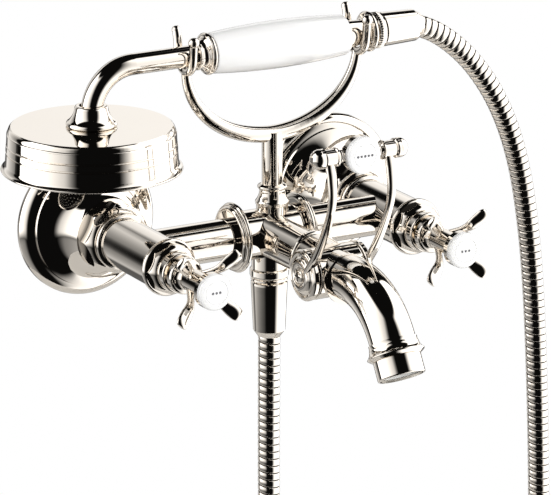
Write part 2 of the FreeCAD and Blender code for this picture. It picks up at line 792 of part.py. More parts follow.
def lever_rod(name, side):
    """A flat S-shaped rod in a plane square to the pivot."""
    half = mm("rod_thickness") / 2
    route = [vector(0, -143.0, 1.2), vector(0, -151.5, 11.5), vector(0, -161.0, 27.0),
             vector(0, -167.6, 43.0), vector(0, -167.4, 57.0),
             vector(0, -mm("crossbar_distance"), mm("crossbar_height"))]
    middle = Part.BSplineCurve()
    middle.interpolate(route)
    first, last = middle.FirstParameter, middle.LastParameter
    stations = [first + (last - first) * number / 10 for number in range(11)]
    offsets = {}
    for sign in (1, -1):
        points = []
        for station in stations:
            tangent = middle.tangent(station)[0]
            normal = vector(0, -tangent.z, tangent.y)
            points.append(middle.value(station) + normal * half * sign)
        edge = Part.BSplineCurve()
        edge.interpolate(points)
        offsets[sign] = (edge, points)
    front, front_points = offsets[1]
    back, back_points = offsets[-1]
    wire = Part.Wire([front.toShape(), Part.LineSegment(front_points[-1], back_points[-1]).toShape(),
                      back.toShape(), Part.LineSegment(back_points[0], front_points[0]).toShape()])
    width = mm("rod_width")
    strip = Part.Face(wire).extrude(vector(width, 0, 0))
    strip.translate(vector(side * mm("rod_offset") - width / 2, 0, 0))
    blade = shaped(f"{name}_rod_strip", strip)
    disc_room = rod(f"{name}_rod_disc_room", cell("pivot_disc_radius") + 0.02,
                    cell("pivot_disc_outer") - cell("pivot_disc_inner") + 2,
                    ((cell("pivot_disc_inner") - 0.5) * side, pivot_y, pivot_z),
                    ALONG_X if side > 0 else ALONG_MINUS_X)
    bar_room = rod(f"{name}_rod_bar_room", 4.32, 60,
                   (-30, -cell("crossbar_distance"), cell("crossbar_height")), ALONG_X)
    return cut(f"{name}_lever_rod", blade, disc_room, bar_room)


def lever_crossbar():
    half = cell("crossbar_half")
    bar = turned("crossbar_turning", [
        (0, 0), (1.6, 0), (5.2, 4.8, 1.2), (5.2, 6.2), (4.9, 6.6), (5.2, 7.0), (4.3, 7.3), (4.3, 13.5),
        (5.0, 13.8), (5.0, 14.6), (2.6, 15.4, -0.3), (3.3, 17.0, 0.3), (3.3, 17.6, 0.1),
        (2.9, 18.6), (5.2, 20.6, -0.5), (5.2, half * 2 - 20.6),
        (2.9, half * 2 - 18.6, -0.5), (3.3, half * 2 - 17.6), (3.3, half * 2 - 17.0, 0.1),
        (2.6, half * 2 - 15.4, 0.3), (5.0, half * 2 - 14.6, -0.3), (5.0, half * 2 - 13.8),
        (4.3, half * 2 - 13.5), (4.3, half * 2 - 7.3), (5.2, half * 2 - 7.0),
        (4.9, half * 2 - 6.6), (5.2, half * 2 - 6.2), (5.2, half * 2 - 4.8), (1.6, half * 2, 1.2),
        (0, half * 2)],
        (-half, -cell("crossbar_distance"), cell("crossbar_height")), ALONG_X)
    radius = cell("lever_button_radius")
    cup = turned("crossbar_cup", [
        (0, 0), (4.4, 0), (radius - 0.8, 4.0, -0.7), (radius, 5.0), (radius, 8.5), (0, 8.5)],
        (0, -(cell("crossbar_distance") - 5.5), cell("crossbar_height")), OUT_OF_WALL)
    recess = rod("crossbar_recess", radius - 0.7, 10,
                 (0, -(cell("crossbar_distance") + 0.4), cell("crossbar_height")), OUT_OF_WALL)
    return cut("lever_crossbar", fused("crossbar_solid", bar, cup), recess)


def spout_route():
    """Centre line of the spout: out, then down through an arc."""
    z = -mm("pivot_drop") + 1
    start = -(mm("pivot_distance") + 17.8)
    straight_end = -mm("spout_straight_end")
    bend = mm("spout_bend")
    turn = math.radians(mm("spout_turn"))

    def on_arc(angle):
        return vector(0, straight_end - bend * math.sin(angle), z - bend * (1 - math.cos(angle)))

    straight = Part.LineSegment(vector(0, start, z), vector(0, straight_end, z))
    arc = Part.Arc(on_arc(0), on_arc(turn / 2), on_arc(turn))
    return Part.Wire([straight.toShape(), arc.toShape()]), on_arc(turn)


def spout_tube():
    route, end = spout_route()
    start = route.Edges[0].Vertexes[0].Point
    skins = []
    for radius in (mm("spout_radius"), mm("spout_bore")):
        section = Part.Wire([Part.Circle(start, vector(0, -1, 0), radius).toShape()])
        skins.append(route.makePipeShell([section], True, True))
    return shaped("spout_tube", skins[0].cut(skins[1])), end


def spout_end_turn():
    """Rotation that takes +Z to the direction in which the spout ends."""
    return FreeCAD.Rotation(vector(1, 0, 0), 90 + mm("spout_turn"))


def along_spout(end, distance):
    """A point past the end of the spout tube, on its axis."""
    turn = math.radians(mm("spout_turn"))
    direction = vector(0, -math.cos(turn), -math.sin(turn))
    point = end + direction * distance
    return (point.x, point.y, point.z)


def spout_collar(end):
    radius = cell("spout_collar_radius")
    tube = cell("spout_radius")
    bore = cell("spout_bore")
    outline = [(bore, 0), (tube + 0.7, 0), (tube + 1.0, 2.8, -0.2), (radius, 6.4, -0.4),
               (radius, 7.4, 0.3), (cell("spout_tip_radius") + 0.5, 8.8), (bore, 8.8)]
    return turned("spout_collar", outline, along_spout(end, 0.02), spout_end_turn())


def aerator_housing(end):
    tip = cell("spout_tip_radius")
    outline = [(10.2, 0), (tip - 0.3, 0), (tip, 0.3), (tip, 9.6), (tip - 0.7, 10.4, 0.2),
               (11.4, 10.4), (11.4, 1.6), (10.2, 1.6)]
    return turned("aerator_housing", outline, along_spout(end, 8.84), spout_end_turn())


def aerator_insert(end):
    outline = [(0, 0), (10.9, 0), (10.9, 7.2), (9.6, 7.2), (9.6, 5.8), (0, 5.8)]
    blank = turned("aerator_blank", outline, along_spout(end, 10.6), spout_end_turn())
    ring = doc.addObject("Part::Feature", "aerator_holes")
    holes = []
    for radius, count in ((3.2, 6), (7.0, 12)):
        for number in range(count):
            angle = math.tau * number / count
            centre = vector(radius * math.cos(angle), radius * math.sin(angle), -1)
            holes.append(Part.makeCylinder(0.8, 12, centre))
    ring.Shape = holes[0].fuse(holes[1:])
    x, y, z = along_spout(end, 10.6)
    ring.Placement = FreeCAD.Placement(vector(x, y, z), spout_end_turn())
    return cut("aerator_insert", blank, ring)


# --------------------------------------------------------------------- hand shower

handset_z = cell("handset_height")


def handset_point(distance):
    return (distance, bar_y, handset_z)


def handset_tube():
    """One tube: up from the head, round the elbow and through the grip."""
    y = -mm("bar_distance")
    z = mm("handset_height")
    x = -mm("head_offset")
    bend = mm("elbow_radius")
    start = vector(x, y, mm("head_top") + 0.3)
    lower = vector(x, y, z - bend)
    middle = vector(x + bend * (1 - math.sqrt(0.5)), y, z - bend * (1 - math.sqrt(0.5)))
    upper = vector(x + bend, y, z)
    end = vector(mm("hose_nut_start") + 8.8, y, z)
    route = Part.Wire([Part.LineSegment(start, lower).toShape(),
                       Part.Arc(lower, middle, upper).toShape(),
                       Part.LineSegment(upper, end).toShape()])
    skins = []
    for radius in (mm("tube_radius"), mm("tube_bore")):
        section = Part.Wire([Part.Circle(start, vector(0, 0, 1), radius).toShape()])
        skins.append(route.makePipeShell([section], True, True))
    return shaped("handset_tube", skins[0].cut(skins[1]))


def porcelain_grip():
    end_radius = cell("grip_end_radius")
    length = cell("grip_start") + cell("grip_end")
    bore = cell("tube_radius") + 0.3
    rise = mm("grip_middle_radius") - mm("grip_end_radius")
    outline = [(bore, 0), (end_radius - 0.5, 0), (end_radius, 0.5, 0.1),
               (end_radius, length - 0.5, rise), (end_radius - 0.5, length, 0.1), (bore, length)]
    return turned("porcelain_grip", outline, handset_point(-cell("grip_start")), ALONG_X)


def front_ferrule():
    ring = cell("ferrule_radius")
    bore = cell("tube_radius") + 0.02
    outline = [(bore, 0), (7.4, 0), (8.0, 0.6, 0.2), (8.0, 1.4), (7.4, 2.0, -0.2),
               (8.8, 4.9, -0.5), (9.6, 5.7), (ring, 6.5, 0.2), (ring, 8.3, 0.4),
               (ring - 0.9, 9.1), (bore, 9.1)]
    return turned("front_ferrule", outline, handset_point(-cell("grip_start") - 9.15), ALONG_X)


def rear_ferrule():
    ring = cell("ferrule_radius")
    bore = cell("tube_radius") + 0.02
    start = cell("grip_end") + 0.05
    thread = cell("hose_thread_radius")
    outline = [(bore, 0), (ring - 0.8, 0), (ring - 0.8, 0.5), (7.3, 1.3, -0.3), (7.0, 6.8),
               (6.6, 12.0), (9.2, 13.4, -0.3), (ring - 0.4, 14.2, 0.2), (ring - 0.4, 16.4, 0.5),
               (9.4, 17.4), (thread, 17.6), (thread, 26.8), (bore, 26.8)]
    return turned("rear_ferrule", outline, handset_point(start), ALONG_X)


def handset_hose_nut():
    start = cell("hose_nut_start")
    radius = cell("hose_nut_radius")
    end = cell("hose_nut_end") - start
    thread = cell("hose_thread_radius") + 0.05
    outline = [(thread, 0), (radius - 0.4, 0), (radius, 0.5), (radius, 4.4), (radius - 0.4, 4.8),
               (radius - 0.1, 5.4), (8.6, end - 4.0), (8.2, end - 3.2),
               (cell("hose_radius") + 0.3, end), (4.2, end), (4.2, 13.0), (thread, 13.0)]
    return turned("handset_hose_nut", outline, handset_point(start), ALONG_X)


def head_nut():
    base = cell("head_top") + 0.05
    bore = cell("tube_radius") + 0.05
    outline = [(bore, 0), (12.6, 0), (13.4, 1.4, 0.4), (12.4, 2.8, 0.2), (8.9, 9.2, -0.7),
               (8.6, 10.2, 0.1), (7.6, 10.9, 0.2), (bore + 0.7, 10.9), (bore, 5.0)]
    return turned("head_nut", outline, (-cell("head_offset"), bar_y, base))


def head_shell():
    """The drum of the shower head, grooved outside and open below."""
    depth = cell("head_top") - cell("head_bottom")
    top = cell("head_top_radius")
    lip = cell("head_lip_radius")
    wall = cell("head_wall")
    outline = [(3.9, depth - wall), (top - 1.4, depth - wall), (top - 1.4, depth - 3.2),
               (44.6 - wall, depth - 6), (44.6 - wall, 2.4), (45.6, 0), (lip, 0), (lip, 1.0, 0.3),
               (45.4, 3.6, -0.5), (45.0, 9.6), (44.2, 10.2, -0.2), (45.0, 10.8), (44.8, 13.6),
               (44.0, 14.2, -0.2), (44.6, 14.8), (44.4, depth - 4.0), (43.8, depth - 3.0, 0.2),
               (top, depth - 0.4, 0.3), (top - 0.5, depth), (3.9, depth)]
    return turned("head_shell", outline, (-cell("head_offset"), bar_y, cell("head_bottom")))


NOZZLE_RINGS = ((8, 6), (16, 12), (24, 18), (32, 24), (39, 30))


def spray_face():
    """The plate that closes the head, with its rings of spray holes."""
    x, y, z = -mm("head_offset"), -mm("bar_distance"), mm("head_bottom") + 2.5
    blank = rod("spray_blank", 42.6, 2.2, (-cell("head_offset"), bar_y, cell("head_bottom") + 2.5))
    holes = []
    for radius, count in NOZZLE_RINGS:
        for number in range(count):
            angle = math.tau * number / count
            centre = vector(x + radius * math.cos(angle), y + radius * math.sin(angle), z - 1)
            holes.append(Part.makeCylinder(0.9, 5, centre))
    return cut("spray_face", blank, shaped("spray_holes", Part.makeCompound(holes)))


# --------------------------------------------------------------------- hose

# Route of the hose in the plane of the bar: out of the hand shower, down past the cold
# valve, round the free loop and up to the shower outlet. Pairs of X and Z.
HOSE_ROUTE = [
    (97.2, 101.5), (107.3, 96.4), (117.5, 88.8), (127.1, 79.6), (135.7, 68.9), (143.1, 57.5),
    (149.9, 44.2), (155.7, 29.2), (160.7, 12.0), (164.4, -7.0), (168.0, -31.0),
    (170.9, -60.0), (173.4, -97.0), (175.8, -146.0), (177.4, -205.0), (174.5, -268.0),
    (167.0, -324.0), (151.0, -370.0), (127.0, -404.0), (91.0, -421.5), (54.0, -413.0),
    (28.0, -379.0), (12.6, -333.0), (5.0, -280.0), (2.8, -222.0), (1.7, -165.0),
    (1.6, -110.0), (1.9, -58.1),
]


def rounded_route(points):
    """Straight runs joined by the largest tangent arcs that they allow."""
    edges = []
    radii = []
    here = points[0]
    for before, corner, after in zip(points, points[1:], points[2:]):
        incoming = corner - before
        outgoing = after - corner
        turn = incoming.getAngle(outgoing)
        setback = 0.45 * min(incoming.Length, outgoing.Length)
        radii.append(setback / math.tan(turn / 2))
        incoming.normalize()
        outgoing.normalize()
        start = corner - incoming * setback
        end = corner + outgoing * setback
        inward = (outgoing - incoming).normalize()
        centre = corner + inward * (setback / math.sin(turn / 2))
        middle = centre - inward * radii[-1]
        edges.append(Part.LineSegment(here, start).toShape())
        edges.append(Part.Arc(start, middle, end).toShape())
        here = end
    edges.append(Part.LineSegment(here, points[-1]).toShape())
    return Part.Wire(edges), radii


def shower_hose():
    y = -mm("bar_distance")
    points = [vector(x, y, z) for x, z in HOSE_ROUTE]
    route, radii = rounded_route(points)
    section = Part.Wire([Part.Circle(points[0], points[1] - points[0], mm("hose_radius")).toShape()])
    tube = route.makePipeShell([section], True, False)
    expected = math.pi * mm("hose_radius") ** 2 * route.Length
    print(f"hose length {route.Length:.1f}, volume {tube.Volume:.0f} of {expected:.0f}")
    print("hose bend radii", [round(radius) for radius in radii])
    return shaped("shower_hose", tube)


# --------------------------------------------------------------------- assembly

rings = []
washers = []
fixed_discs = []
for valve, direction in SIDES.items():
    finish(wall_union(valve, direction), f"{valve}_wall_union")
    finish(wall_flange(valve, direction), f"{valve}_wall_flange")
    finish(union_nut(valve, direction), f"{valve}_union_nut")
    washers.append(inlet_washer(valve, direction))
    finish(valve_body(valve, direction), f"{valve}_valve_body")
    finish(collar_ring(valve, direction), f"{valve}_collar_ring")
    finish(bonnet_nut(valve, direction), f"{valve}_bonnet_nut")
    finish(cartridge(valve, direction), f"{valve}_cartridge")
    fixed_discs.append(ceramic_disc(f"{valve}_fixed_disc", direction, cell("valve_seat") + 0.5,
                                    cell("disc_radius") + 0.25, 4))
    finish(ceramic_disc(f"{valve}_turning_disc", direction, cell("valve_seat") + 4.6,
                        cell("disc_radius"), 3.7), f"{valve}_turning_disc")
    finish(spindle(valve, direction), f"{valve}_spindle")
    finish(cross_handle(valve, direction), f"{valve}_cross_handle")
    finish(handle_screw(valve, direction), f"{valve}_handle_screw")
    finish(button(f"{valve}_button", inlet(direction), cell("button_rim") - 2.5,
                  cell("button_radius")), f"{valve}_porcelain_button")
    finish(bar_tube(valve, direction), f"{valve}_bar_tube")
    rings.append(bar_ring(valve, direction))

finish(fused("inlet_washers", *washers), "inlet_washers")
finish(fused("fixed_ceramic_discs", *fixed_discs), "fixed_ceramic_discs")
finish(fused("bar_rings", *rings), "bar_rings")
finish(tee_body(), "tee_body")
finish(vase_collar(), "vase_collar")
finish(riser_post(), "riser_post")
finish(cradle(), "cradle")
finish(shower_outlet(), "shower_outlet")
finish(outlet_hose_nut(), "outlet_hose_nut")
finish(hose_washer("outlet_washer", (outlet_x, bar_y, -(cell("outlet_thread_end") + 0.1)), DOWNWARD),
       "outlet_washer")
finish(diverter_housing(), "diverter_housing")
finish(diverter_rotor(), "diverter_rotor")
for hand, direction in {"left": -1, "right": 1}.items():
    finish(pivot_disc(hand, direction), f"{hand}_pivot_disc")
    finish(lever_rod(hand, direction), f"{hand}_lever_rod")
finish(lever_crossbar(), "lever_crossbar")
finish(button("lever_button", (0, -cell("crossbar_distance"), cell("crossbar_height")), 0.5,
              cell("lever_button_radius")), "lever_porcelain_button")
tube, spout_end = spout_tube()
finish(tube, "spout_tube")
finish(spout_collar(spout_end), "spout_collar")
finish(aerator_housing(spout_end), "aerator_housing")
finish(aerator_insert(spout_end), "aerator_insert")
finish(handset_tube(), "handset_tube")
finish(porcelain_grip(), "porcelain_grip")
finish(front_ferrule(), "front_ferrule")
finish(rear_ferrule(), "rear_ferrule")
finish(handset_hose_nut(), "handset_hose_nut")
finish(hose_washer("handset_washer", handset_point(cell("hose_nut_start") + 9.1), ALONG_X),
       "handset_washer")
finish(head_nut(), "head_nut")
finish(head_shell(), "head_shell")
finish(spray_face(), "spray_face")
finish(shower_hose(), "shower_hose")

doc.recompute()

for item in doc.Objects:
    if "Invalid" in item.State or "Error" in item.State:
        raise RuntimeError(f"{item.Name} is not computed: {item.State}")
for piece in parts:
    if piece.Shape.isNull() or not piece.Shape.isValid():
        raise RuntimeError(f"{piece.Label} has no valid shape")

os.makedirs("parts", exist_ok=True)
for piece in parts:
    piece.Shape.exportStep(f"parts/{piece.Label}.step")
print(len(parts), "sub-parts written")
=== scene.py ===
import json
import math

import bpy
from mathutils import Matrix, Vector


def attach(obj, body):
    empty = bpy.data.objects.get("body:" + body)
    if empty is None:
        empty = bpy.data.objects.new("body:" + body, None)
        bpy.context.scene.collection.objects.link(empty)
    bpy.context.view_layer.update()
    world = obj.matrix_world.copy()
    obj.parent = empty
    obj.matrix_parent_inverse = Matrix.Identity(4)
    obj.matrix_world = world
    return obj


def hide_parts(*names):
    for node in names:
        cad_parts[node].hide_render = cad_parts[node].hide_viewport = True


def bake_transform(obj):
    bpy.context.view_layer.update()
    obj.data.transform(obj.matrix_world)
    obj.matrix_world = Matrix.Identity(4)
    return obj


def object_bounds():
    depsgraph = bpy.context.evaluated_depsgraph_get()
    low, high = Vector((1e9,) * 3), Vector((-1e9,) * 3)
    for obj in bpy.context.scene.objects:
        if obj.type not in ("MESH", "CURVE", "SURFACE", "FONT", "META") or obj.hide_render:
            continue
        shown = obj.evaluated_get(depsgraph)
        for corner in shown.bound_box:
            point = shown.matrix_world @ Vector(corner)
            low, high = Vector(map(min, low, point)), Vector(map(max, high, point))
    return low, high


# Wall mounted bath mixer with a hand shower on its cradle. Metres, +Z up, the wall at y = 0.

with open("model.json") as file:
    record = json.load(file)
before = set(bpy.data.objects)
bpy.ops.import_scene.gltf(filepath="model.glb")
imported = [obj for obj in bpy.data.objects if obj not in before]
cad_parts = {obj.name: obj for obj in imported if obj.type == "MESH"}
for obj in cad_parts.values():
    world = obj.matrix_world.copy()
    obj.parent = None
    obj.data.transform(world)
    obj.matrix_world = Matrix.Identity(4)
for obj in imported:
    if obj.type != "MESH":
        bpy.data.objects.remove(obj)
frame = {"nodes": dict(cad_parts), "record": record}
nodes = frame["nodes"]
cad_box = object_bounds()


# ------------------------------------------------------------------ camera

VIEW_AZIMUTH = math.radians(-29.4)
VIEW_ELEVATION = math.radians(17.0)
VIEW_TARGET = Vector((-0.01685, -0.10726, 0.00473))
VIEW_DISTANCE = 2.3684
SENSOR_WIDTH = 36.0
FOCAL_LENGTH = 294.0


def make_camera():
    data = bpy.data.cameras.new("camera")
    data.sensor_width = SENSOR_WIDTH
    data.lens = FOCAL_LENGTH
    camera = bpy.data.objects.new("camera", data)
    bpy.context.scene.collection.objects.link(camera)
    back = Vector((math.sin(VIEW_AZIMUTH) * math.cos(VIEW_ELEVATION),
                   -math.cos(VIEW_AZIMUTH) * math.cos(VIEW_ELEVATION),
                   math.sin(VIEW_ELEVATION)))
    camera.location = VIEW_TARGET + back * VIEW_DISTANCE
    camera.rotation_mode = "QUATERNION"
    camera.rotation_quaternion = (-back).to_track_quat("-Z", "Y")
    bpy.context.scene.camera = camera


make_camera()


# ------------------------------------------------------------------ helpers

def add_mesh(name, vertices, faces, body=None, smooth=True):
    """A mesh object from points and faces, riding on a body."""
    mesh = bpy.data.meshes.new(name)
    mesh.from_pydata([tuple(point) for point in vertices], [], faces)
    mesh.update()
    if smooth:
        mesh.shade_smooth()
    piece = bpy.data.objects.new(name, mesh)
    bpy.context.scene.collection.objects.link(piece)
    if body:
        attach(piece, body)
    return piece


def wall_faces(rows, around, start=0, flipped=False):
    """Four-sided faces between closed rows of points, the first of them numbered start."""
    faces = []
    for row in range(rows - 1):
        lower = start + row * around
        upper = lower + around
        for step in range(around):
            following = (step + 1) % around
            face = (lower + step, lower + following, upper + following, upper + step)
            if flipped:
                face = (face[0], face[3], face[2], face[1])
            faces.append(face)
    return faces


def turned_mesh(name, outline, place, body=None, segments=96):
    """Revolve (radius, height) points about the local Z of the matrix place."""
    vertices = []
    for radius, height in outline:
        for step in range(segments):
            angle = math.tau * step / segments
            vertices.append(place @ Vector((radius * math.cos(angle),
                                            radius * math.sin(angle), height)))
    rows = len(outline)
    faces = wall_faces(rows, segments)
    faces.append(tuple(reversed(range(segments))))
    faces.append(tuple((rows - 1) * segments + step for step in range(segments)))
    return add_mesh(name, vertices, faces, body)


def paint(piece, material):
    piece.data.materials.clear()
    piece.data.materials.append(material)
    return piece


# ------------------------------------------------------------------ materials

def new_material(name):
    material = bpy.data.materials.new(name)
    material.use_nodes = True
    tree = material.node_tree
    return material, tree, tree.nodes["Principled BSDF"]


def add_node(tree, kind, **inputs):
    node = tree.nodes.new(kind)
    for name, value in inputs.items():
        node.inputs[name.replace("_", " ")].default_value = value
    return node


def object_noise(tree, scale, detail=2.0, roughness=0.5):
    """Noise in the object's own coordinates."""
    where = tree.nodes.new("ShaderNodeTexCoord")
    noise = add_node(tree, "ShaderNodeTexNoise", Scale=scale, Detail=detail, Roughness=roughness)
    tree.links.new(where.outputs["Object"], noise.inputs["Vector"])
    return noise.outputs["Fac"]


def spread(tree, factor, low, high):
    """Map a 0 to 1 factor to the range low to high."""
    ramp = add_node(tree, "ShaderNodeMapRange", To_Min=low, To_Max=high)
    tree.links.new(factor, ramp.inputs["Value"])
    return ramp.outputs["Result"]


def blend_colours(tree, factor, first, second):
    mix = tree.nodes.new("ShaderNodeMix")
    mix.data_type = "RGBA"
    mix.inputs["A"].default_value = (*first, 1)
    mix.inputs["B"].default_value = (*second, 1)
    tree.links.new(factor, mix.inputs["Factor"])
    return mix.outputs["Result"]


def add_bump(tree, shader, height, distance, strength=1.0):
    bump = add_node(tree, "ShaderNodeBump", Strength=strength, Distance=distance)
    tree.links.new(height, bump.inputs["Height"])
    tree.links.new(bump.outputs["Normal"], shader.inputs["Normal"])


def polished_metal(name, light, dark, smoothest, roughest):
    """A plated mirror finish: faint tint clouds, buffing haze and a trace of waviness."""
    material, tree, shader = new_material(name)
    shader.inputs["Metallic"].default_value = 1.0
    clouds = object_noise(tree, 38.0, 3.0)
    tree.links.new(blend_colours(tree, clouds, light, dark), shader.inputs["Base Color"])
    haze = object_noise(tree, 210.0, 4.0, 0.6)
    tree.links.new(spread(tree, haze, smoothest, roughest), shader.inputs["Roughness"])
    add_bump(tree, shader, object_noise(tree, 95.0, 1.0), 0.00001, 0.35)
    return material


def porcelain(name):
    """White body under a clear, slightly uneven gloss glaze."""
    material, tree, shader = new_material(name)
    clouds = object_noise(tree, 60.0, 3.0)
    tree.links.new(blend_colours(tree, clouds, (0.93, 0.93, 0.925), (0.90, 0.90, 0.895)),
                   shader.inputs["Base Color"])
    haze = object_noise(tree, 300.0, 2.0)
    tree.links.new(spread(tree, haze, 0.10, 0.16), shader.inputs["Roughness"])
    shader.inputs["IOR"].default_value = 1.52
    shader.inputs["Coat Weight"].default_value = 0.6
    shader.inputs["Coat Roughness"].default_value = 0.03
    shader.inputs["Subsurface Weight"].default_value = 0.08
    shader.inputs["Subsurface Radius"].default_value = (0.002, 0.002, 0.0018)
    add_bump(tree, shader, object_noise(tree, 120.0, 2.0), 0.00002, 0.3)
    return material


def plain_surface(name, light, dark, roughness, scale, metallic=0.0, bump=0.00002):
    """A dull or machined surface with mottled colour and grain."""
    material, tree, shader = new_material(name)
    shader.inputs["Metallic"].default_value = metallic
    grain = object_noise(tree, scale, 5.0, 0.65)
    tree.links.new(blend_colours(tree, grain, light, dark), shader.inputs["Base Color"])
    tree.links.new(spread(tree, grain, roughness * 0.8, roughness * 1.2),
                   shader.inputs["Roughness"])
    add_bump(tree, shader, grain, bump, 0.5)
    return material


NICKEL = polished_metal("polished_nickel", (0.86, 0.81, 0.745), (0.84, 0.785, 0.715), 0.02, 0.045)
HOSE_NICKEL = polished_metal("hose_nickel", (0.84, 0.79, 0.725), (0.81, 0.755, 0.685), 0.05, 0.10)
PORCELAIN = porcelain("white_porcelain")
BRASS = plain_surface("machined_brass", (0.80, 0.62, 0.33), (0.70, 0.53, 0.26), 0.28, 420.0, 1.0)
LAPPED = plain_surface("lapped_ceramic", (0.88, 0.88, 0.85), (0.82, 0.82, 0.80), 0.35, 600.0)
RUBBER = plain_surface("black_rubber", (0.035, 0.035, 0.035), (0.06, 0.06, 0.06), 0.6, 500.0)
AERATOR = plain_surface("aerator_plastic", (0.72, 0.72, 0.70), (0.62, 0.62, 0.60), 0.45, 700.0)
INK = plain_surface("fired_glaze_mark", (0.10, 0.10, 0.11), (0.15, 0.15, 0.16), 0.3, 900.0)
# Near-black metal for the cross slots of the pivot screws: painted shade in the slots.
SCREW_SLOT_SHADE = plain_surface("screw_slot_painted_shade", (0.04, 0.037, 0.034), (0.07, 0.065, 0.06), 0.4, 900.0, 1.0)
NOZZLE = plain_surface("soft_nozzle", (0.55, 0.55, 0.54), (0.48, 0.48, 0.47), 0.5, 900.0)
# Near-black metal for the seams between the hose's turns: painted shade in the gaps.
HOSE_GAP_SHADE = plain_surface("seam_gap_painted_shade", (0.05, 0.046, 0.04), (0.09, 0.083, 0.075), 0.35, 500.0, 1.0)

SLOT_MATERIALS = {
    "polished_nickel": NICKEL,
    "hose_metal": HOSE_NICKEL,
    "porcelain": PORCELAIN,
    "brass": BRASS,
    "ceramic_disc": LAPPED,
    "rubber_washer": RUBBER,
    "aerator_plastic": AERATOR,
}


def paint_nodes():
    for entry in frame["record"]["subparts"]:
        piece = nodes[entry["node"]]
        for slot in piece.material_slots:
            slot.material = SLOT_MATERIALS[entry["material_slot"]]


paint_nodes()


# ------------------------------------------------------------------ shower hose

# Route of the hose, X and Z, in the plane of the cross bar.
HOSE_Y = -0.067
HOSE_ROUTE = [
    (0.0930, 0.1030), (0.0990, 0.1007), (0.1073, 0.0964), (0.1175, 0.0888), (0.1271, 0.0796),
    (0.1357, 0.0689), (0.1431, 0.0575), (0.1499, 0.0442), (0.1557, 0.0292), (0.1607, 0.0120),
    (0.1644, -0.0070), (0.1680, -0.0310), (0.1709, -0.0600), (0.1734, -0.0970),
    (0.1758, -0.1460), (0.1774, -0.2050), (0.1745, -0.2680), (0.1670, -0.3240),
    (0.1510, -0.3700), (0.1270, -0.4040), (0.0910, -0.4215), (0.0540, -0.4130),
    (0.0280, -0.3790), (0.0126, -0.3330), (0.0050, -0.2800), (0.0028, -0.2220),
    (0.0017, -0.1650), (0.0016, -0.1100), (0.0019, -0.0580),
]
HOSE_DIAMETER = 0.012
HOSE_PITCH = 0.0041
HOSE_SIDES = 40
HOSE_STEP = 0.0005


def hose_line():
    """Points of the smooth line through the route."""
    curve = bpy.data.curves.new("hose_line", "CURVE")
    curve.dimensions = "3D"
    curve.resolution_u = 24
    spline = curve.splines.new("NURBS")
    spline.points.add(len(HOSE_ROUTE) - 1)
    for point, (x, z) in zip(spline.points, HOSE_ROUTE):
        point.co = (x, HOSE_Y, z, 1)
    spline.order_u = 3
    spline.use_endpoint_u = True
    line = bpy.data.objects.new("hose_line", curve)
    mesh = bpy.data.meshes.new_from_object(line)
    points = [vertex.co.copy() for vertex in mesh.vertices]
    bpy.data.objects.remove(line)
    bpy.data.meshes.remove(mesh)
    return points


def resample(points, step):
    """Evenly spaced points along a polyline, each with its distance and direction."""
    lengths = [0.0]
    for before, after in zip(points, points[1:]):
        lengths.append(lengths[-1] + (after - before).length)
    count = round(lengths[-1] / step)
    stations = []
    index = 0
    for number in range(count + 1):
        along = lengths[-1] * number / count
        while index < len(points) - 2 and lengths[index + 1] < along:
            index += 1
        share = (along - lengths[index]) / (lengths[index + 1] - lengths[index])
        centre = points[index].lerp(points[index + 1], share)
        before = points[max(index - 1, 0)]
        after = points[min(index + 2, len(points) - 1)]
        stations.append((along, centre, (after - before).normalized()))
    return stations


# Depth of the strip's surface below the outer radius, over one turn of the strip, and whether
# the band up to the next point lies in the seam between two turns.
# Bands in the seam get the near-black material, painted shade for the gap between the turns.
STRIP_PROFILE = [
    (0.00, 0.00013, False), (0.07, 0.00006, False), (0.18, 0.00002, False), (0.33, 0.0, False),
    (0.48, 0.0, False), (0.62, 0.00003, False), (0.74, 0.00010, False), (0.82, 0.00020, True),
    (0.85, 0.00085, True), (0.93, 0.00085, True), (0.97, 0.00022, False),
]


def make_hose():
    """A metal hose wound from an interlocking strip."""
    line = hose_line()
    around = HOSE_SIDES
    stations = resample(line, HOSE_STEP)
    length = stations[-1][0]
    turns = math.ceil(length / HOSE_PITCH) + 1
    bands = len(STRIP_PROFILE)
    side = Vector((0, 1, 0))
    vertices = []
    faces = []
    seam_shade_flags = []
    for turn in range(-1, turns):
        for phase, depth, _ in STRIP_PROFILE:
            for step in range(around):
                along = min(max((turn + phase + step / around) * HOSE_PITCH, 0.0), length)
                index = min(int(along / length * (len(stations) - 1)), len(stations) - 2)
                share = (along - stations[index][0]) / (stations[index + 1][0]
                                                        - stations[index][0])
                centre = stations[index][1].lerp(stations[index + 1][1], share)
                direction = stations[index][2].lerp(stations[index + 1][2], share)
                outward = side.cross(direction).normalized()
                angle = math.tau * step / around
                radius = HOSE_DIAMETER / 2 - depth
                vertices.append(centre + radius * (math.cos(angle) * side
                                                   + math.sin(angle) * outward))
    rows = (turns + 1) * bands
    for row in range(rows - 1):
        for step in range(around):
            across = (row + bands if step == around - 1 else row) * around + (step + 1) % around
            if across + around >= len(vertices):
                continue
            faces.append((row * around + step, across, across + around,
                          (row + 1) * around + step))
            seam_shade_flags.append(STRIP_PROFILE[row % bands][2])
    hose = paint(add_mesh("shower_hose_strip", vertices, faces), HOSE_NICKEL)
    # The seam faces take the dark material, painted shade in the gaps between the turns.
    hose.data.materials.append(HOSE_GAP_SHADE)
    hose.data.polygons.foreach_set("material_index", [int(seam) for seam in seam_shade_flags])
    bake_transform(hose)
    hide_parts("shower_hose")


make_hose()


# ------------------------------------------------------------------ small details

BUTTON_MARKS = {
    # name: centre of the face, body, number of dots
    "hot_button_mark": ((-0.075, -0.1490, 0.0), "hot_handle", 3),
    "cold_button_mark": ((0.075, -0.1490, 0.0), "cold_handle", 3),
    "lever_button_mark": ((0.0, -0.1710, 0.068), "diverter_lever", 5),
}
DOT_RADIUS = 0.00070
DOT_SPACING = 0.0021
DOT_HEIGHT = 0.00004
DOT_ROOT = 0.00002
DOT_SIDES = 24


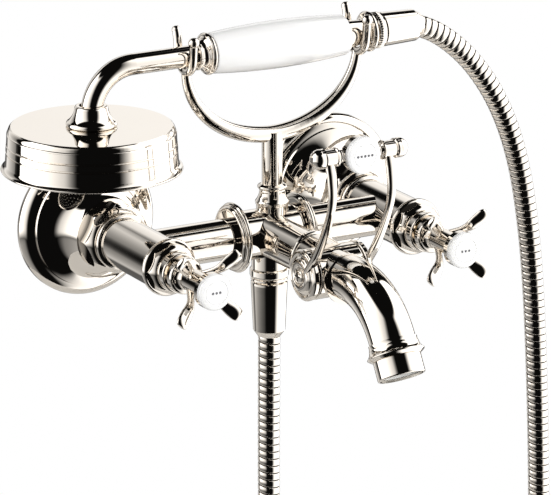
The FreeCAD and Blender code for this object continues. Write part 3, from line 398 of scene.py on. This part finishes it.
def make_button_marks():
    """A plain row of dots on each index button, fired into the glaze."""
    for name, (centre, body, count) in BUTTON_MARKS.items():
        vertices = []
        faces = []
        for number in range(count):
            x = centre[0] + (number - (count - 1) / 2) * DOT_SPACING
            start = len(vertices)
            for depth in (DOT_ROOT, -DOT_HEIGHT):
                for step in range(DOT_SIDES):
                    angle = math.tau * step / DOT_SIDES
                    vertices.append((x + DOT_RADIUS * math.cos(angle), centre[1] + depth,
                                     centre[2] + DOT_RADIUS * math.sin(angle)))
            faces.append(tuple(start + step for step in range(DOT_SIDES)))
            faces.append(tuple(start + DOT_SIDES + step for step in reversed(range(DOT_SIDES))))
            faces.extend(wall_faces(2, DOT_SIDES, start, flipped=True))
        paint(add_mesh(name, vertices, faces, body, smooth=False), INK)


PIVOT_Y = -0.137
PIVOT_Z = -0.0025
PIVOT_FACE = 0.01895

# Radius and height above the pivot disc.
SCREW_OUTLINE = [(0.0040, 0.0), (0.0040, 0.0007), (0.0037, 0.0011), (0.0028, 0.0015),
                 (0.0015, 0.0018), (0.0001, 0.00185)]
# The two bars of the cross, as half widths, and their lower and upper height.
SLOT_BARS = ((0.0024, 0.0004), (0.0004, 0.0024))
SLOT_HEIGHTS = (0.0012, 0.00192)
BOX_FACES = ((3, 2, 1, 0), (4, 5, 6, 7), (0, 1, 5, 4), (1, 2, 6, 5), (2, 3, 7, 6), (3, 0, 4, 7))


def make_pivot_screws():
    """A domed cross-head screw in the middle of each pivot disc."""
    for name, side in (("left", -1), ("right", 1)):
        place = (Matrix.Translation((side * PIVOT_FACE, PIVOT_Y, PIVOT_Z))
                 @ Matrix.Rotation(side * math.pi / 2, 4, "Y"))
        head = turned_mesh(f"{name}_pivot_screw", SCREW_OUTLINE, place, "diverter_lever")
        paint(head, NICKEL)
        vertices = []
        faces = []
        for half_long, half_short in SLOT_BARS:
            start = len(vertices)
            for height in SLOT_HEIGHTS:
                for across, up in ((-1, -1), (1, -1), (1, 1), (-1, 1)):
                    vertices.append(place @ Vector((across * half_long, up * half_short, height)))
            faces.extend(tuple(start + corner for corner in face) for face in BOX_FACES)
        # The cross slot is a near-black box set into the domed head, painted shade where the slot
        # lies in shadow.
        slot = add_mesh(f"{name}_pivot_cross_painted_shade", vertices, faces, "diverter_lever", False)
        paint(slot, SCREW_SLOT_SHADE)


# Middle line of the lever rods, Y and Z.
ROD_ROUTE = [(-0.1430, 0.0012), (-0.1515, 0.0115), (-0.1610, 0.0270), (-0.1676, 0.0430),
             (-0.1674, 0.0570), (-0.1645, 0.0680)]
ROD_HALF_WIDTH = 0.0028
ROD_HALF_THICKNESS = 0.0017
ROD_OFFSET = 0.0176
ROD_WAIST = 0.22
ROD_ROUNDING = 0.8
ROD_SIDES = 32


def rod_line(steps):
    """Points and directions along a smooth line through the rod's route."""
    points = [Vector((0, y, z)) for y, z in ROD_ROUTE]
    points = [2 * points[0] - points[1]] + points + [2 * points[-1] - points[-2]]
    line = []
    for a, b, c, d in zip(points, points[1:], points[2:], points[3:]):
        for step in range(steps):
            t = step / steps
            line.append(0.5 * (2 * b + (c - a) * t + (2 * a - 5 * b + 4 * c - d) * t ** 2
                               + (3 * b - a - 3 * c + d) * t ** 3))
    line.append(points[-2])
    return line


def make_lever_rods():
    """The two S-shaped rods of the lever, with rounded edges."""
    line = rod_line(10)
    around = ROD_SIDES
    for name, side in (("left", -1), ("right", 1)):
        vertices = []
        for number, centre in enumerate(line):
            before = line[max(number - 1, 0)]
            after = line[min(number + 1, len(line) - 1)]
            direction = (after - before).normalized()
            normal = Vector((0, -direction.z, direction.y))
            share = number / (len(line) - 1)
            half_width = ROD_HALF_WIDTH * (1.0 - ROD_WAIST * math.sin(math.pi * share) ** 2)
            for step in range(around):
                angle = math.tau * step / around
                across = math.copysign(abs(math.cos(angle)) ** ROD_ROUNDING, math.cos(angle))
                over = math.copysign(abs(math.sin(angle)) ** ROD_ROUNDING, math.sin(angle))
                vertices.append(centre + Vector((side * ROD_OFFSET + across * half_width, 0, 0))
                                + normal * (over * ROD_HALF_THICKNESS))
        faces = wall_faces(len(line), around, flipped=True)
        faces.append(tuple(range(around)))
        faces.append(tuple(reversed([(len(line) - 1) * around + step for step in range(around)])))
        rod = paint(add_mesh(f"{name}_lever_rod_rounded", vertices, faces, "diverter_lever"),
                    NICKEL)
        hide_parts(f"{name}_lever_rod")


# Rows of the knurled ring along X, and the height of the hand shower's middle line.
KNURL_ROWS = (0.0655, 0.0659, 0.0672, 0.0685, 0.0689)
KNURL_Z = 0.1033
KNURL_TEETH = 44
KNURL_EDGE = 0.00935
KNURL_ROOT = 0.00945
KNURL_DEPTH = 0.0004


def make_knurl():
    """The knurled grip ring at the mouth of the hand shower's hose nut."""
    around = KNURL_TEETH * 6
    vertices = []
    for row, x in enumerate(KNURL_ROWS):
        edge = row in (0, len(KNURL_ROWS) - 1)
        for step in range(around):
            angle = math.tau * step / around
            wave = 0.5 + 0.5 * math.cos(KNURL_TEETH * angle)
            radius = KNURL_EDGE if edge else KNURL_ROOT + KNURL_DEPTH * wave
            vertices.append((x, HOSE_Y + radius * math.cos(angle),
                             KNURL_Z + radius * math.sin(angle)))
    faces = wall_faces(len(KNURL_ROWS), around)
    ring = paint(add_mesh("hose_nut_knurl", vertices, faces, "hand_shower"), NICKEL)


HEAD_X = -0.104
# Radius of each ring of nozzles in the spray head, and how many it holds.
NOZZLE_RINGS = ((0.008, 6), (0.016, 12), (0.024, 18), (0.032, 24), (0.039, 30))
# Radius and height of a nozzle from its root to its tip.
NOZZLE_OUTLINE = ((0.00082, 0.0540), (0.00078, 0.0522), (0.0005, 0.0514))
NOZZLE_SIDES = 10


def make_nozzles():
    """Soft nozzles in the holes of the spray face."""
    vertices = []
    faces = []
    rows = len(NOZZLE_OUTLINE)
    for ring, count in NOZZLE_RINGS:
        for number in range(count):
            bearing = math.tau * number / count
            x = HEAD_X + ring * math.cos(bearing)
            y = HOSE_Y + ring * math.sin(bearing)
            start = len(vertices)
            for radius, z in NOZZLE_OUTLINE:
                for step in range(NOZZLE_SIDES):
                    angle = math.tau * step / NOZZLE_SIDES
                    vertices.append((x + radius * math.cos(angle), y + radius * math.sin(angle), z))
            tip = len(vertices) - NOZZLE_SIDES
            faces.extend(wall_faces(rows, NOZZLE_SIDES, start, flipped=True))
            faces.append(tuple(start + step for step in range(NOZZLE_SIDES)))
            faces.append(tuple(tip + step for step in reversed(range(NOZZLE_SIDES))))
    paint(add_mesh("spray_nozzles", vertices, faces, "hand_shower"), NOZZLE)


make_lever_rods()
make_button_marks()
make_pivot_screws()
make_knurl()
make_nozzles()


# ------------------------------------------------------------------ studio

FLOOR_DROP = 0.035
FLOOR_CENTRE = (0.08, 0.20)
FLOOR_RADIUS = 0.42
FLOOR_SIDES = 128


def make_floor():
    """A plain pale round floor below the lowest point of the hose."""
    z = cad_box[0].z - FLOOR_DROP
    rim = [math.tau * step / FLOOR_SIDES for step in range(FLOOR_SIDES)]
    points = [(FLOOR_CENTRE[0] + FLOOR_RADIUS * math.cos(angle),
               FLOOR_CENTRE[1] + FLOOR_RADIUS * math.sin(angle), z) for angle in rim]
    floor = add_mesh("floor", points, [tuple(range(FLOOR_SIDES))], smooth=False)
    material, tree, shader = new_material("pale_floor")
    shader.inputs["Roughness"].default_value = 0.9
    shader.inputs["Base Color"].default_value = (0.75, 0.74, 0.72, 1)
    paint(floor, material)


# Soft boxes around the object, in degrees. Azimuth counts from straight behind it, positive
# to the right, and elevation from the horizon. Each is azimuth from and to with the two edge
# widths, elevation from and to with the two edge widths, and brightness at the two azimuths.
SOFT_BOXES = [
    # right
    ((32, 130), (1.5, 12), (-70, 57), (8, 3), (2.2, 1.3)),
    # behind, above the horizon
    ((-6, 30), (4, 4), (-6, 13), (3, 4), (0.80, 1.40)),
    ((-34, 6), (8, 3), (6, 31), (5, 3), (0.55, 1.20)),
    # behind, on the left
    ((-60, -26), (2, 6), (-30, 32), (2, 2), (0.22, 1.10)),
    # left
    ((-154, -73), (10, 1.5), (-18, 50), (8, 4), (0.60, 2.6)),
    # low, behind
    ((-60, 34), (8, 4), (-45, -6), (4, 4), (0.10, 0.14)),
    # under, on the left
    ((-140, -50), (16, 10), (-88, -22), (2, 8), (0.20, 0.50)),
]
DARK_ROOM = 0.004


class Formula:
    """Builds arithmetic out of nodes."""

    def __init__(self, tree):
        self.tree = tree

    def math(self, operation, first, second=None):
        node = self.tree.nodes.new("ShaderNodeMath")
        node.operation = operation
        for socket, value in zip(node.inputs, (first, second)):
            self.feed(socket, value)
        return node.outputs["Value"]

    def feed(self, socket, value):
        if isinstance(value, (int, float)):
            socket.default_value = value
        elif value is not None:
            self.tree.links.new(value, socket)

    def span(self, value, low, high, first, second, smooth=True):
        node = self.tree.nodes.new("ShaderNodeMapRange")
        node.interpolation_type = "SMOOTHSTEP" if smooth else "LINEAR"
        for name, number in (("Value", value), ("From Min", low), ("From Max", high),
                             ("To Min", first), ("To Max", second)):
            self.feed(node.inputs[name], number)
        return node.outputs["Result"]

    def between(self, value, limits, widths):
        rise = self.span(value, limits[0] - widths[0], limits[0] + widths[0], 0.0, 1.0)
        fall = self.span(value, limits[1] - widths[1], limits[1] + widths[1], 1.0, 0.0)
        return self.math("MULTIPLY", rise, fall)


def dot_product(tree, vector, direction):
    node = tree.nodes.new("ShaderNodeVectorMath")
    node.operation = "DOT_PRODUCT"
    tree.links.new(vector, node.inputs[0])
    node.inputs[1].default_value = direction
    return node.outputs["Value"]


def make_world():
    """Soft boxes in a dark room, with a plain white backdrop straight behind the object."""
    world = bpy.data.worlds.new("studio")
    world.use_nodes = True
    bpy.context.scene.world = world
    tree = world.node_tree
    formula = Formula(tree)
    where = tree.nodes.new("ShaderNodeTexCoord").outputs["Generated"]
    forward = (-math.sin(VIEW_AZIMUTH), math.cos(VIEW_AZIMUTH), 0.0)
    rightward = (math.cos(VIEW_AZIMUTH), math.sin(VIEW_AZIMUTH), 0.0)
    azimuth = formula.math("ARCTAN2", dot_product(tree, where, rightward),
                           dot_product(tree, where, forward))
    azimuth = formula.math("MULTIPLY", azimuth, math.degrees(1))
    elevation = formula.math("ARCSINE", dot_product(tree, where, (0.0, 0.0, 1.0)))
    elevation = formula.math("MULTIPLY", elevation, math.degrees(1))
    total = DARK_ROOM
    for across, across_widths, up, up_widths, levels in SOFT_BOXES:
        level = formula.span(azimuth, across[0], across[1], levels[0], levels[1], smooth=False)
        mask = formula.math("MULTIPLY", formula.between(azimuth, across, across_widths),
                            formula.between(elevation, up, up_widths))
        total = formula.math("MAXIMUM", total, formula.math("MULTIPLY", level, mask))
    background = tree.nodes["Background"]
    tint = tree.nodes.new("ShaderNodeCombineColor")
    for name, share in (("Red", 1.0), ("Green", 0.99), ("Blue", 0.975)):
        tree.links.new(formula.math("MULTIPLY", total, share), tint.inputs[name])
    backdrop = tree.nodes.new("ShaderNodeMix")
    backdrop.data_type = "RGBA"
    backdrop.inputs["B"].default_value = (1.0, 1.0, 1.0, 1.0)
    tree.links.new(tree.nodes.new("ShaderNodeLightPath").outputs["Is Camera Ray"],
                   backdrop.inputs["Factor"])
    tree.links.new(tint.outputs["Color"], backdrop.inputs["A"])
    tree.links.new(backdrop.outputs["Result"], background.inputs["Color"])


def make_fill(name, azimuth, elevation, distance, size, power):
    """A broad fill light for the porcelain that the polished metal doesn't mirror."""
    data = bpy.data.lights.new(name, "AREA")
    data.shape = "DISK"
    data.size = size
    data.energy = power
    data.spread = math.radians(50)
    light = bpy.data.objects.new(name, data)
    bpy.context.scene.collection.objects.link(light)
    around = math.radians(azimuth)
    up = math.radians(elevation)
    back = Vector((math.sin(around) * math.cos(up), -math.cos(around) * math.cos(up),
                   math.sin(up)))
    light.location = VIEW_TARGET + back * distance
    light.rotation_euler = back.to_track_quat("Z", "Y").to_euler()
    light.visible_glossy = False


def make_lights():
    make_fill("front_fill", -10.0, 12.0, 2.2, 1.4, 4.0)
    make_fill("top_fill", -20.0, 75.0, 1.8, 1.6, 1.0)
    bpy.context.scene.view_settings.view_transform = "Standard"


make_floor()
make_world()
make_lights()
